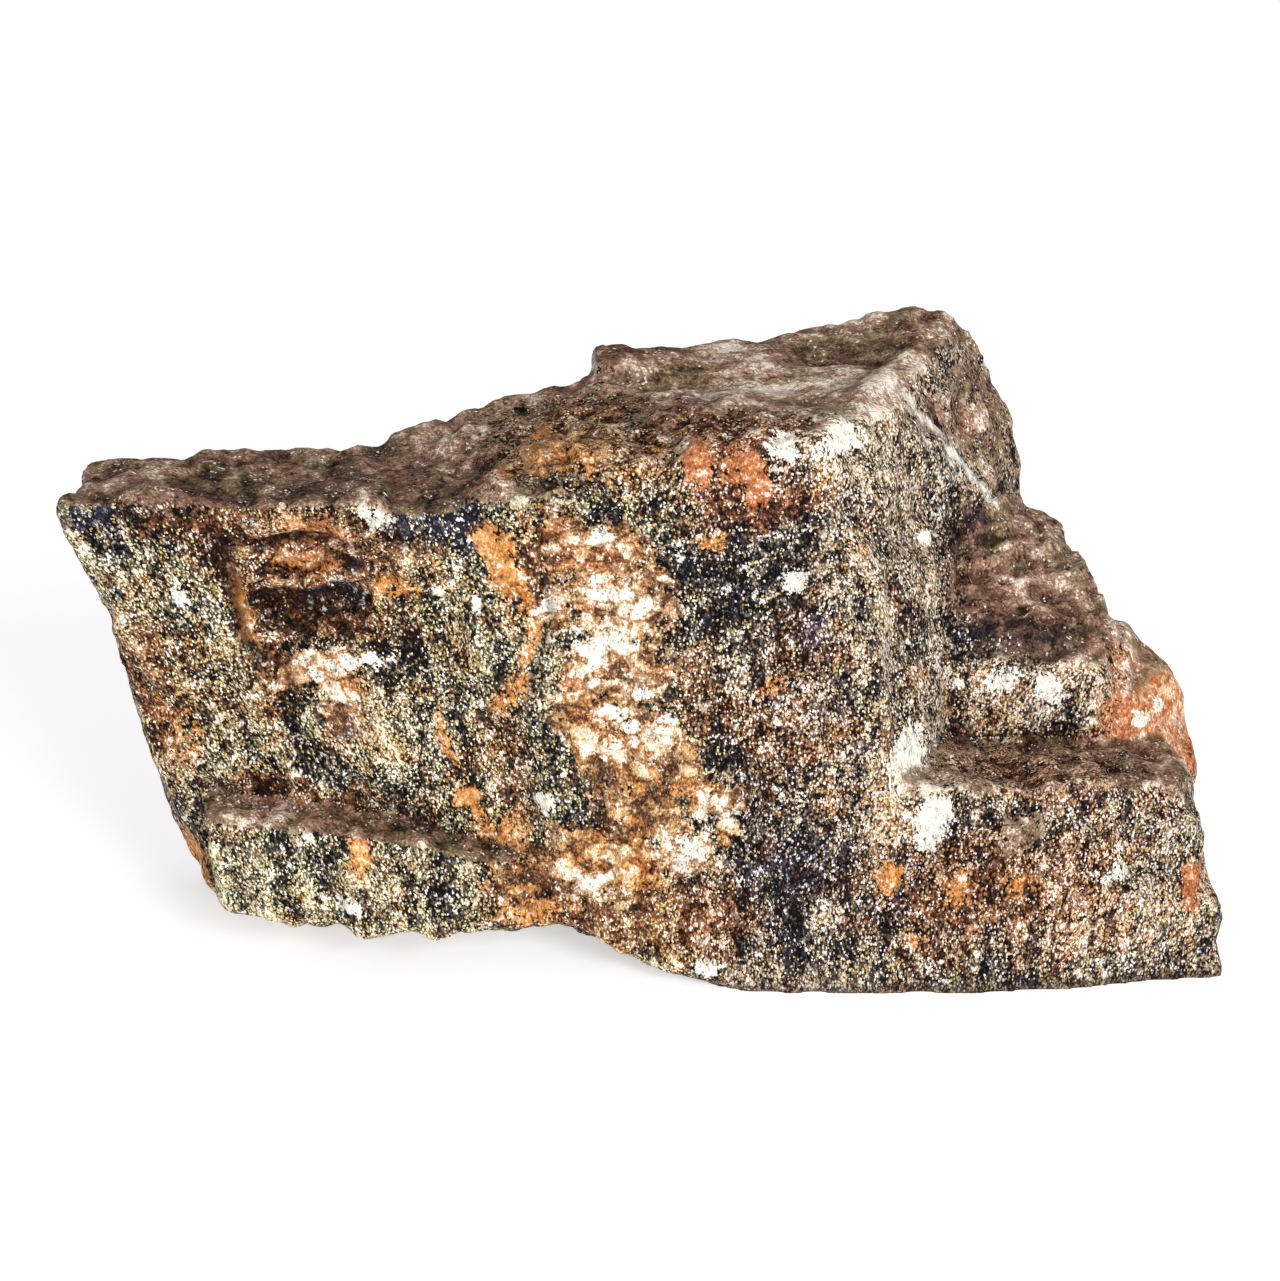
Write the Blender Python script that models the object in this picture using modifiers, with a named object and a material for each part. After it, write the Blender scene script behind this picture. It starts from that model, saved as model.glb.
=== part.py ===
"""A hand specimen of hornfels: one broken piece of hard, fine-grained, banded stone.

Blender works in metres with +Z up. The lengths in this file are in millimetres, and MM turns them into metres.
X runs along the stone from the middle of its length, Y runs back from its broad broken front, and Z runs up
from the surface that it rests on. At the end the stone is set with the middle of its base at the origin.

The stone broke along joints, so it is built as blocks with flat sides, joined into one, with a few scars
cut out of it. Its faces are then roughened, its lowest face is flattened, and it stays one solid.
"""

import bmesh
import bpy
from mathutils import Matrix, Vector, noise

MM = 0.001

# Driving dimensions of the finished stone.
LENGTH = 92.6
DEPTH = 38.0
HEIGHT = 48.6

# Heights of the surfaces that face up.
LEDGE_Z = 40.0  # the long ledge along the top left
TOP_Z = 45.3  # the top of the upper block
CREST_Z = 48.6  # the highest edge, at the back right
SHELF_Z = 16.3  # the shelf on the lower right block
LIP_Z = 23.2  # the lip above that shelf
STEP_Z = 14.6  # the narrow step at the lower left
BELOW_BASE_Z = -1.5  # the blocks run down past the base, which is cut flat at 0

# How far back each face stands.
FRONT_Y = 2.0
STEP_Y = 8.0
LIP_Y = 14.0
BACK_Y = 37.5

# Fineness of the surface.
VOXEL = 0.55
TRIANGLES = 7600
MERGE = 0.02

# The bands in the stone stand nearly upright. They lean to the left as they rise, most at the left end.
BAND_LEAN = -0.12
BAND_LEAN_PER_MM = 0.005
BAND_STRETCH = 3.2


# Each block is the hull of its corners: (x, y, z).
BLOCKS = {
    "left_slab": [
        (-45.2, 4.7, LEDGE_Z - 0.2),
        (-43.0, 16.6, LEDGE_Z - 0.2),
        (-27.0, 18.5, LEDGE_Z + 0.6),
        (0.0, 20.0, LEDGE_Z + 0.4),
        (0.0, 5.6, LEDGE_Z - 0.4),
        (-11.0, 4.8, LEDGE_Z - 0.3),
        (-43.0, 5.3, 34.0),
        (-40.6, 5.8, 30.4),
        (-39.8, 6.6, 23.8),
        (-39.8, 7.0, 20.6),
        (-38.2, 7.6, 17.3),
        (-35.0, STEP_Y, 13.5),
        (-9.5, 4.6, 12.0),
        (0.0, 4.6, 10.0),
        (-33.0, 9.0, 4.6),
        (0.0, 9.0, 4.6),
        (-38.8, 17.0, 14.0),
        (-37.4, 21.5, 7.0),
        (-41.0, 17.6, 30.0),
        (0.0, 30.0, 24.0),
    ],
    "left_foot": [
        (-38.6, 17.6, 15.0),
        (-37.4, 21.5, 7.0),
        (-37.2, 24.5, 3.0),
        (-35.6, 26.5, BELOW_BASE_Z),
        (-31.0, 18.0, 2.5),
        (-39.0, 21.6, 24.6),
        (-38.6, 25.0, 18.0),
        (-36.4, 29.0, 8.0),
        (-24.0, 32.0, BELOW_BASE_Z),
        (-20.0, 33.0, 12.0),
        (-26.0, 28.4, 25.0),
        (-16.0, 27.0, 29.0),
        (-12.0, 21.0, BELOW_BASE_Z),
        (-10.0, 34.0, 4.0),
        (-10.0, 28.0, 20.0),
        (0.0, 14.0, 1.5),
        (0.0, 28.0, BELOW_BASE_Z),
    ],
    "lower_left_step": [
        (-34.4, FRONT_Y + 0.5, STEP_Z - 0.2),
        (-20.6, FRONT_Y + 0.4, STEP_Z - 1.7),
        (-9.2, FRONT_Y + 1.0, 10.4),
        (-33.0, FRONT_Y + 1.2, 7.3),
        (-32.2, FRONT_Y + 1.2, 5.9),
        (-27.1, FRONT_Y + 0.9, 5.0),
        (-16.0, FRONT_Y + 0.7, 4.3),
        (-5.6, FRONT_Y + 2.0, 4.8),
        (-34.6, 10.0, STEP_Z + 0.4),
        (-6.0, 10.0, 10.6),
        (-30.5, 20.0, 1.2),
        (-5.0, 20.0, 1.2),
    ],
    "rear_crest": [
        (-21.0, 18.8, 40.6),
        (-18.4, 19.4, 41.8),
        (-16.0, 20.0, 42.9),
        (-10.6, 21.0, 43.8),
        (-4.0, 24.0, 44.6),
        (-19.0, 13.0, 39.0),
        (-9.0, 12.0, 41.4),
        (-3.0, 11.0, 42.6),
        (-19.0, 24.0, 38.4),
        (0.0, 30.0, 40.0),
        (-17.0, 27.0, 30.0),
        (0.0, 32.0, 30.0),
    ],
    "upper_block": [
        (-15.6, 5.0, LEDGE_Z - 0.8),
        (-12.4, 6.2, 41.0),
        (-8.8, 9.0, 42.8),
        (-4.6, 12.4, 43.6),
        (2.0, 10.6, 43.7),
        (9.6, 8.2, 43.8),
        (14.1, 7.9, 44.2),
        (-11.6, 4.7, 20.0),
        (-10.0, 4.0, 11.0),
        (-3.0, FRONT_Y + 0.6, 3.6),
        (1.6, FRONT_Y, 1.8),
        (8.2, FRONT_Y - 0.6, 1.2),
        (12.2, FRONT_Y - 0.8, 0.5),
        (16.0, FRONT_Y - 1.2, BELOW_BASE_Z),
        (20.7, FRONT_Y - 1.6, BELOW_BASE_Z),
        (16.5, 6.8, 34.2),
        (19.4, 4.6, 20.3),
        (2.0, 12.0, BELOW_BASE_Z),
        (-6.0, 28.0, 42.0),
        (22.0, 30.0, 44.0),
        (-8.0, 33.0, 20.0),
        (22.0, 34.0, 22.0),
        (-8.0, 32.0, BELOW_BASE_Z),
        (22.0, 33.0, BELOW_BASE_Z),
    ],
    "top_plate": [
        (-4.6, 16.4, 43.9),
        (4.3, 12.2, TOP_Z - 0.4),
        (14.3, 8.3, TOP_Z - 0.5),
        (19.2, 14.0, TOP_Z - 0.9),
        (21.3, 18.0, TOP_Z - 0.3),
        (-5.2, 24.0, 43.9),
        (-3.0, 30.0, 42.4),
        (24.0, 32.0, TOP_Z),
        (4.3, 12.6, 42.4),
        (14.3, 8.8, 42.0),
        (21.3, 18.0, 41.4),
    ],
    "top_slab": [
        (-3.5, 21.5, 43.6),
        (-3.6, 22.6, 46.3),
        (9.6, 24.4, 45.5),
        (17.0, 26.5, 45.6),
        (22.8, 24.0, 45.4),
        (-3.4, 25.0, 46.7),
        (9.9, 28.5, 46.5),
        (16.0, 31.0, 47.0),
        (-3.3, 30.0, 43.9),
        (-3.0, 31.0, 36.0),
        (22.0, 20.5, 43.6),
        (22.0, 33.4, 40.0),
    ],
    "crest_plate": [
        (8.0, 27.5, 45.3),
        (12.6, 30.0, 47.0),
        (17.3, 31.2, 48.1),
        (20.0, 31.6, CREST_Z),
        (25.2, 31.6, CREST_Z),
        (26.6, 31.8, 47.8),
        (23.6, 24.6, 46.3),
        (14.0, 27.0, 45.6),
        (10.0, 32.6, 43.4),
        (25.6, 33.0, 43.4),
    ],
    "upper_right": [
        (14.1, 8.2, TOP_Z - 0.6),
        (19.2, 14.0, TOP_Z - 0.9),
        (21.3, 18.0, TOP_Z - 0.4),
        (25.2, 31.8, CREST_Z - 0.2),
        (26.6, 31.9, 47.8),
        (28.2, 32.0, 45.2),
        (30.2, 32.0, 40.0),
        (31.9, 31.0, 34.3),
        (28.3, 23.5, 34.6),
        (25.4, 19.5, 35.0),
        (24.9, 14.6, 23.0),
        (24.9, 14.0, SHELF_Z),
        (16.5, 6.9, 34.2),
        (19.4, 4.7, 20.3),
        (20.4, FRONT_Y + 0.8, 12.0),
        (20.0, FRONT_Y + 0.8, BELOW_BASE_Z),
        (25.0, 14.0, BELOW_BASE_Z),
        (29.0, 33.0, 14.0),
        (22.0, 33.0, BELOW_BASE_Z),
        (20.0, 33.0, 44.0),
    ],
    "lip_block": [
        (24.0, LIP_Y + 0.2, LIP_Z),
        (30.0, LIP_Y - 0.4, LIP_Z + 0.4),
        (37.8, LIP_Y + 0.8, LIP_Z),
        (38.7, 19.5, 25.6),
        (38.0, 22.0, 26.8),
        (34.5, 28.6, 29.6),
        (33.6, 30.6, 31.9),
        (28.3, 24.4, 34.2),
        (24.0, 21.0, 33.4),
        (24.9, LIP_Y + 0.2, SHELF_Z),
        (39.4, LIP_Y + 1.0, SHELF_Z),
        (25.0, LIP_Y, BELOW_BASE_Z),
        (38.0, 16.0, BELOW_BASE_Z),
        (37.0, 28.0, 20.0),
        (36.0, 30.4, BELOW_BASE_Z),
        (30.0, 33.6, 20.0),
        (22.0, 33.0, BELOW_BASE_Z),
    ],
    "lower_right_block": [
        (14.0, FRONT_Y + 3.0, SHELF_Z - 1.0),
        (19.8, FRONT_Y + 1.9, SHELF_Z - 1.0),
        (25.0, FRONT_Y + 2.4, SHELF_Z + 0.2),
        (34.0, FRONT_Y + 3.2, SHELF_Z - 0.2),
        (43.0, 7.9, SHELF_Z - 0.9),
        (44.0, 12.0, SHELF_Z - 1.8),
        (42.0, 17.0, SHELF_Z - 0.4),
        (24.8, 16.0, SHELF_Z + 0.9),
        (14.0, FRONT_Y + 1.6, 8.0),
        (20.2, FRONT_Y + 0.3, 8.0),
        (33.0, FRONT_Y + 0.4, 8.4),
        (44.9, 7.6, 9.5),
        (46.6, 5.4, 3.8),
        (46.9, 4.4, BELOW_BASE_Z),
        (14.0, FRONT_Y + 0.4, BELOW_BASE_Z),
        (20.7, FRONT_Y - 1.4, BELOW_BASE_Z),
        (34.0, FRONT_Y - 0.2, BELOW_BASE_Z),
        (45.6, 15.0, BELOW_BASE_Z),
        (24.0, 24.0, BELOW_BASE_Z),
    ],
    "rust_bulge": [
        (38.0, 18.5, LIP_Z + 1.8),
        (40.8, 21.0, 23.9),
        (43.4, 21.0, 21.0),
        (44.4, 21.0, 18.4),
        (44.8, 20.5, 16.2),
        (44.4, 18.6, 13.6),
        (39.4, 15.6, 20.5),
        (38.8, 15.4, SHELF_Z - 1.0),
        (36.0, 29.0, 24.0),
        (41.0, 27.0, 16.0),
        (43.6, 23.0, 3.0),
        (38.5, 29.4, BELOW_BASE_Z),
        (43.0, 24.0, BELOW_BASE_Z),
        (43.8, 12.0, BELOW_BASE_Z),
        (34.0, 14.0, BELOW_BASE_Z),
    ],
    "back_slab": [
        (-14.0, 23.0, 39.0),
        (4.0, 30.0, 43.8),
        (22.0, 32.6, 44.4),
        (29.0, 32.6, 35.0),
        (-19.0, 27.6, 27.0),
        (-8.0, 33.4, 23.0),
        (12.0, 35.4, 25.0),
        (28.0, 34.4, 22.0),
        (-12.0, 30.0, 10.0),
        (24.0, 31.0, 10.0),
        (0.0, 20.0, 12.0),
    ],
    "back_bench": [
        (-16.0, 31.4, 14.0),
        (-6.0, 35.2, 19.6),
        (6.0, 36.8, 20.6),
        (15.0, BACK_Y - 0.6, 16.0),
        (21.0, 34.6, 12.0),
        (16.0, BACK_Y - 0.4, 4.0),
        (2.0, BACK_Y, 7.0),
        (-11.0, 35.0, 5.0),
        (-6.0, 34.6, BELOW_BASE_Z),
        (12.0, 35.6, BELOW_BASE_Z),
        (-13.0, 24.0, 20.0),
        (20.0, 28.0, 24.0),
        (-12.0, 24.0, BELOW_BASE_Z),
        (24.0, 26.0, BELOW_BASE_Z),
    ],
    "back_right_rib": [
        (20.0, 33.4, 28.0),
        (27.6, 34.4, 21.0),
        (33.0, 33.0, 13.0),
        (31.0, 34.2, 4.0),
        (23.0, 35.6, 2.0),
        (24.0, 35.0, BELOW_BASE_Z),
        (36.0, 29.0, BELOW_BASE_Z),
        (16.0, 28.0, 30.0),
        (34.0, 24.0, 24.0),
        (16.0, 24.0, BELOW_BASE_Z),
    ],
}

# Scars are hollows broken out of the faces, written as the blocks are.
# Each is widest outside the stone, so its walls slope.
SCARS = {
    "front_notch_top": [
        (-32.0, -4.0, 43.0),
        (-20.0, -4.0, 42.0),
        (-14.0, -4.0, 33.0),
        (-33.0, -4.0, 32.0),
        (-29.4, 5.8, 35.4),
        (-24.2, 6.8, 34.8),
        (-28.6, 6.4, 33.4),
        (-23.6, 6.0, 33.2),
    ],
    "front_notch_low": [
        (-36.0, -4.0, 37.0),
        (-16.0, -4.0, 37.0),
        (-17.0, -4.0, 24.0),
        (-33.0, -4.0, 22.0),
        (-30.0, 6.4, 32.4),
        (-21.2, 6.0, 32.6),
        (-22.0, 6.5, 30.6),
        (-29.2, 7.0, 30.2),
    ],
    "step_crack": [
        (-14.0, -3.0, 12.6),
        (-6.4, -3.0, 11.2),
        (-6.6, -3.0, 9.8),
        (-13.4, -3.0, 11.0),
        (-11.6, 6.2, 11.8),
        (-8.2, 6.0, 11.0),
        (-10.0, 6.0, 10.8),
    ],
    "left_edge_dip": [
        (-48.2, -4.0, 44.4),
        (-41.1, -4.0, 30.8),
        (-40.4, -4.0, 18.0),
        (-60.0, -4.0, 18.0),
        (-60.0, -4.0, 44.4),
        (-48.2, 22.0, 43.6),
        (-41.0, 22.0, 29.8),
        (-40.0, 22.0, 17.0),
        (-60.0, 22.0, 17.0),
        (-60.0, 22.0, 43.6),
    ],
    "back_upper_scoop": [
        (-16.0, 52.0, 56.0),
        (22.0, 52.0, 46.0),
        (14.0, 52.0, 20.0),
        (-12.0, 52.0, 22.0),
        (-4.0, 29.6, 37.0),
        (5.0, 31.6, 34.0),
        (-1.0, 32.6, 29.0),
    ],
    "back_left_scoop": [
        (-50.0, 44.0, 36.0),
        (-20.0, 50.0, 38.0),
        (-16.0, 50.0, 6.0),
        (-44.0, 46.0, -4.0),
        (-31.0, 24.6, 21.0),
        (-25.0, 26.8, 20.0),
        (-27.0, 28.6, 11.0),
    ],
    "back_right_scoop": [
        (20.0, 54.0, 30.0),
        (56.0, 34.0, 36.0),
        (60.0, 34.0, 6.0),
        (26.0, 54.0, 0.0),
        (34.6, 29.4, 22.0),
        (39.0, 26.6, 19.0),
        (36.0, 29.8, 14.0),
    ],
}


def hull_object(name, corners, collection):
    """An object whose mesh is the hull of these corners."""
    shape = bmesh.new()
    for corner in corners:
        shape.verts.new(Vector(corner) * MM)
    made = bmesh.ops.convex_hull(shape, input=shape.verts)
    inside = [v for v in made["geom_interior"] if isinstance(v, bmesh.types.BMVert)]
    bmesh.ops.delete(shape, geom=inside, context="VERTS")
    bmesh.ops.recalc_face_normals(shape, faces=shape.faces)
    mesh = bpy.data.meshes.new(name)
    shape.to_mesh(mesh)
    shape.free()
    made_object = bpy.data.objects.new(name, mesh)
    collection.objects.link(made_object)
    return made_object


def evaluated_mesh(source):
    """The mesh of an object with its modifiers applied."""
    bpy.context.view_layer.update()
    graph = bpy.context.evaluated_depsgraph_get()
    return bpy.data.meshes.new_from_object(source.evaluated_get(graph))


def apply_boolean(stone, other, operation):
    """Joins the other object to the stone, or cuts it away, and removes it."""
    modifier = stone.modifiers.new(operation.lower(), "BOOLEAN")
    modifier.operation = operation
    modifier.object = other
    modifier.solver = "EXACT"
    stone.data = evaluated_mesh(stone)
    stone.modifiers.clear()
    bpy.data.objects.remove(other)


def remesh(stone):
    """Gives the stone an even skin of small faces."""
    modifier = stone.modifiers.new("remesh", "REMESH")
    modifier.mode = "VOXEL"
    modifier.voxel_size = VOXEL * MM
    stone.data = evaluated_mesh(stone)
    stone.modifiers.clear()


def along_bands(point, scale):
    """A point for the noise functions, drawn out along the bands so that the relief runs with them."""
    band = Vector((BAND_LEAN + BAND_LEAN_PER_MM * point.x, 0.05, 1.0)).normalized()
    along = point.dot(band)
    return (point - band * along * (1.0 - 1.0 / BAND_STRETCH)) / scale


def facets(point, size):
    """Small flat breaks at all angles, each about as wide as size."""
    place = point / size
    nearest = noise.voronoi(place)[1][0]
    lean = noise.cell_vector(nearest * 5.3) - Vector((0.5, 0.5, 0.5))
    return (place - nearest).dot(lean) * size


def relief(point, normal):
    """How far the broken surface stands out at a point, in millimetres."""
    facing_up = max(0.0, normal.z)
    facing_back = max(0.0, normal.y)
    broad = noise.noise(point / 12.0) * (0.4 + 0.4 * facing_back)
    breaks = facets(point, 8.0) * (0.07 + 0.13 * facing_back)
    lumps = noise.noise(point / 4.2 + Vector((7.0, 0.0, 3.0))) * (0.34 + 0.34 * facing_up)
    ribs = noise.noise(along_bands(point, 2.4)) * 0.3 * (1.0 - facing_up)
    chips = min(0.0, noise.noise(point / 6.0 + Vector((0.0, 11.0, 0.0))) + 0.24) * 1.5
    return broad + breaks + lumps + ribs + chips


def roughen(stone):
    """Moves each point of the skin out or in along its normal."""
    shape = bmesh.new()
    shape.from_mesh(stone.data)
    shape.normal_update()
    moves = [(v, v.normal * relief(v.co / MM, v.normal) * MM) for v in shape.verts]
    for vertex, move in moves:
        vertex.co += move
    shape.to_mesh(stone.data)
    shape.free()


def thin_out(stone):
    """Brings the skin down to its number of triangles, most of them along edges and lumps."""
    triangles = sum(len(face.vertices) - 2 for face in stone.data.polygons)
    modifier = stone.modifiers.new("thin_out", "DECIMATE")
    modifier.decimate_type = "COLLAPSE"
    modifier.ratio = TRIANGLES / triangles
    stone.data = evaluated_mesh(stone)
    stone.modifiers.clear()


def flatten_base_and_place(stone):
    """Planes the underside flat, brings the stone to its full size and puts the middle of its base at the origin."""
    shape = bmesh.new()
    shape.from_mesh(stone.data)
    everything = shape.verts[:] + shape.edges[:] + shape.faces[:]
    cut = bmesh.ops.bisect_plane(
        shape,
        geom=everything,
        dist=MERGE * MM,
        plane_co=(0.0, 0.0, 0.0),
        plane_no=(0.0, 0.0, -1.0),
        clear_outer=True,
    )
    rim = [edge for edge in cut["geom_cut"] if isinstance(edge, bmesh.types.BMEdge)]
    for edge in rim:
        for vertex in edge.verts:
            vertex.co.z = 0.0
    bmesh.ops.holes_fill(shape, edges=rim, sides=0)
    bmesh.ops.triangulate(shape, faces=shape.faces)
    bmesh.ops.recalc_face_normals(shape, faces=shape.faces)
    low = Vector(min(v.co[axis] for v in shape.verts) for axis in range(3))
    high = Vector(max(v.co[axis] for v in shape.verts) for axis in range(3))
    size = high - low
    to_full_size = (LENGTH * MM / size.x, DEPTH * MM / size.y, HEIGHT * MM / size.z)
    middle = (low + high) / 2
    bmesh.ops.translate(shape, vec=(-middle.x, -middle.y, -low.z), verts=shape.verts)
    bmesh.ops.scale(shape, vec=to_full_size, verts=shape.verts)
    shape.to_mesh(stone.data)
    shape.free()


def stone_material():
    """Dark brown-grey stone with a dull surface."""
    material = bpy.data.materials.new("hornfels")
    material.use_nodes = True
    shader = material.node_tree.nodes["Principled BSDF"]
    shader.inputs["Base Color"].default_value = (0.19, 0.145, 0.105, 1.0)
    shader.inputs["Roughness"].default_value = 0.72
    shader.inputs["Metallic"].default_value = 0.0
    return material


def build():
    for old in list(bpy.data.objects):
        bpy.data.objects.remove(old)
    specimen = bpy.data.collections.new("hornfels_specimen")
    bpy.context.scene.collection.children.link(specimen)
    blocks = [hull_object(name, corners, specimen) for name, corners in BLOCKS.items()]
    scars = [hull_object(name, corners, specimen) for name, corners in SCARS.items()]
    stone = blocks[0]
    for block in blocks[1:]:
        apply_boolean(stone, block, "UNION")
    for scar in scars:
        apply_boolean(stone, scar, "DIFFERENCE")
    remesh(stone)
    roughen(stone)
    thin_out(stone)
    flatten_base_and_place(stone)
    stone.name = "hornfels_stone"
    stone.data.name = "hornfels_stone"
    stone.data.materials.clear()
    stone.data.materials.append(stone_material())
    stone.matrix_world = Matrix.Identity(4)


build()
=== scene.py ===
import random
from math import radians

import bmesh
import bpy
import numpy as np
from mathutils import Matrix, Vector, noise


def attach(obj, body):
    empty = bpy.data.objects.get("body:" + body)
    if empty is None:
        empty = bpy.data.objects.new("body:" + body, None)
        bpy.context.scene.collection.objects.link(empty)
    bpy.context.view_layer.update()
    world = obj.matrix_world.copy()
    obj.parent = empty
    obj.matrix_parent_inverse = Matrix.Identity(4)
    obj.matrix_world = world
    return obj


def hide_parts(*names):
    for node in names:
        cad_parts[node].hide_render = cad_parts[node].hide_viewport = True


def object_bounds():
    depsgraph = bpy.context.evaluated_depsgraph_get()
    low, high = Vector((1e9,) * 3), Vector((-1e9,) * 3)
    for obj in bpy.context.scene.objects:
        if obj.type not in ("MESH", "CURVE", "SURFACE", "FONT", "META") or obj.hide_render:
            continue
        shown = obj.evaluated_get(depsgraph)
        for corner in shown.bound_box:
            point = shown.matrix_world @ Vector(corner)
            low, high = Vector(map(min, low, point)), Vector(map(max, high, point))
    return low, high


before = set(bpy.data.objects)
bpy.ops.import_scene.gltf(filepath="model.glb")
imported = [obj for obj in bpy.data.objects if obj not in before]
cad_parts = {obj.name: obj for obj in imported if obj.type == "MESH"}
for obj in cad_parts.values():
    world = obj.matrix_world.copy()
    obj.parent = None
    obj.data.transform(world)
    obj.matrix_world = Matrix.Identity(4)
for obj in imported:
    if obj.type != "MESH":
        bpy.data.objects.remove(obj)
cad_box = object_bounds()


# ---- The stone -------------------------------------------------------------------------------
# A hand-sized piece of hornfels, broken out of one block: fine black, grey and cream grains in
# steep bands, cut by a quartz vein. Its surface is a close mesh drawn tight over the packed
# solid, and each kind of ground on it has its own relief.

MM = 0.001
GRID = 0.415 * MM  # how far apart the surface's points lie
WELD = 0.001 * MM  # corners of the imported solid's triangles this close are one point
FAIRING = 4  # passes that take the solid's flat facets off
STONE = "hornfels_stone"

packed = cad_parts[STONE]
shell = bmesh.new()
shell.from_mesh(packed.data)
bmesh.ops.remove_doubles(shell, verts=shell.verts, dist=WELD)
shell_mesh = bpy.data.meshes.new("broken_stone")
shell.to_mesh(shell_mesh)
shell.free()
stone = bpy.data.objects.new("broken_stone", shell_mesh)
bpy.context.scene.collection.objects.link(stone)
close_mesh = stone.modifiers.new("close mesh", "REMESH")
close_mesh.mode = "VOXEL"
close_mesh.voxel_size = GRID
bpy.context.view_layer.update()
drawn = stone.evaluated_get(bpy.context.evaluated_depsgraph_get())
stone.data = bpy.data.meshes.new_from_object(drawn)
stone.data.name = "broken_stone"
stone.modifiers.clear()

surface = bmesh.new()
surface.from_mesh(stone.data)
for _ in range(FAIRING):
    bmesh.ops.smooth_vert(surface, verts=surface.verts, factor=0.5, use_axis_x=True, use_axis_y=True,
                          use_axis_z=True)
surface.normal_update()
places = np.array([point.co for point in surface.verts]) / MM
facing = np.array([point.normal for point in surface.verts])
edges = np.array([[end.index for end in edge.verts] for edge in surface.edges])
surface.free()


def spread(values, passes):
    """Evens values out over neighbouring points of the surface."""
    ways = np.bincount(edges.ravel(), minlength=len(values))
    for _ in range(passes):
        total = (np.bincount(edges[:, 0], values[edges[:, 1]], len(values))
                 + np.bincount(edges[:, 1], values[edges[:, 0]], len(values)))
        values = (values + total / ways) / 2
    return values


def speckle(across, seed):
    """Smooth noise at each point of the surface, -1 to 1, in spots so many mm wide."""
    return np.array([noise.noise(Vector(spot)) for spot in places / across + seed])


# The stone's bands stand steep and lean more towards its left end: mm sideways for each mm up, and
# how much that changes for each mm along the stone.
LEAN = 0.12
LEAN_ALONG = -0.005

# Each kind of ground lies in the stone as lens-shaped bodies: a centre and three half sizes, in
# mm, and how full the body is of that ground, which is 1 unless it is given.

# The vein's white part.
WHITE_QUARTZ = [
    (-6.2, -14, 38.0, 2.4, 5, 1.5), (-4.4, -14, 35.6, 4.2, 6, 2.7), (-2.8, -14, 31.2, 4.9, 7, 3.8),
    (-2.5, -15, 26.2, 4.7, 7, 3.8, 0.9), (-1.6, -16, 21.6, 4.2, 7, 3.0, 0.7),
    (-8.3, -15, 31.4, 1.4, 3, 1.2), (5.0, -17, 15.6, 2.4, 3, 1.8, 0.9),
    (3.0, -17, 11.2, 3.2, 3, 1.8, 0.9), (-5.4, -17, 8.8, 3.2, 3, 1.9, 0.8),
    (-26.1, -15, 25.4, 3.2, 3, 2.1), (-24.3, -15, 22.2, 2.5, 3, 1.8, 0.8), (-2.0, 16, 31, 4.2, 7, 7),
    (0.5, 17, 17, 3.4, 7, 8, 0.8),
]

# The vein's whitest crystals.
MILKY_QUARTZ = [
    (-3.8, -14, 36.6, 1.3, 3, 1.0), (-5.7, -14, 36.8, 0.8, 3, 0.6), (-3.9, -14.3, 32.6, 2.5, 3, 0.9),
    (-8.2, -15, 31.3, 1.2, 2, 0.9), (-1.5, -14.5, 31.2, 1.7, 3, 0.6), (-4.4, -14.8, 27.8, 1.6, 3, 2.0),
    (-2.2, -14.9, 28.6, 1.7, 3, 0.9), (-0.4, -15, 24.8, 1.7, 3, 0.8), (-2.0, -15.2, 22.7, 1.3, 3, 0.6),
    (1.6, -16.5, 14.8, 0.9, 2, 1.0, 0.9), (3.2, -17.2, 11.4, 2.3, 2, 1.1),
    (-5.7, -17, 9.4, 1.8, 2, 1.1), (5.3, -17, 14.5, 1.7, 2, 1.2, 0.7),
    (-26.3, -14.8, 26.3, 2.4, 2, 1.1, 0.6), (-24.6, -15, 23.4, 1.4, 2, 1.0, 0.5),
    (-2, 16, 33, 2.2, 6, 1.6), (-1, 17, 26, 2.0, 6, 2.4),
]

# The vein's honey-coloured part.
AMBER_QUARTZ = [
    (-0.8, -16, 19.2, 4.4, 5, 3.0), (-0.8, -17, 14.6, 4.2, 5, 4.0, 0.9), (-4.8, -16, 22.0, 2.2, 4, 4.0),
    (3.4, -17, 18.0, 1.8, 4, 2.6, 0.8), (-4.0, -17, 10.6, 5.4, 4, 3.4), (6.2, -17, 13.1, 1.2, 2, 1.2),
    (-10.0, -16, 8.5, 3.2, 3, 2.4, 0.8), (-6.5, -9, 42.2, 4.2, 6, 2.2, 0.8),
]

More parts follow.
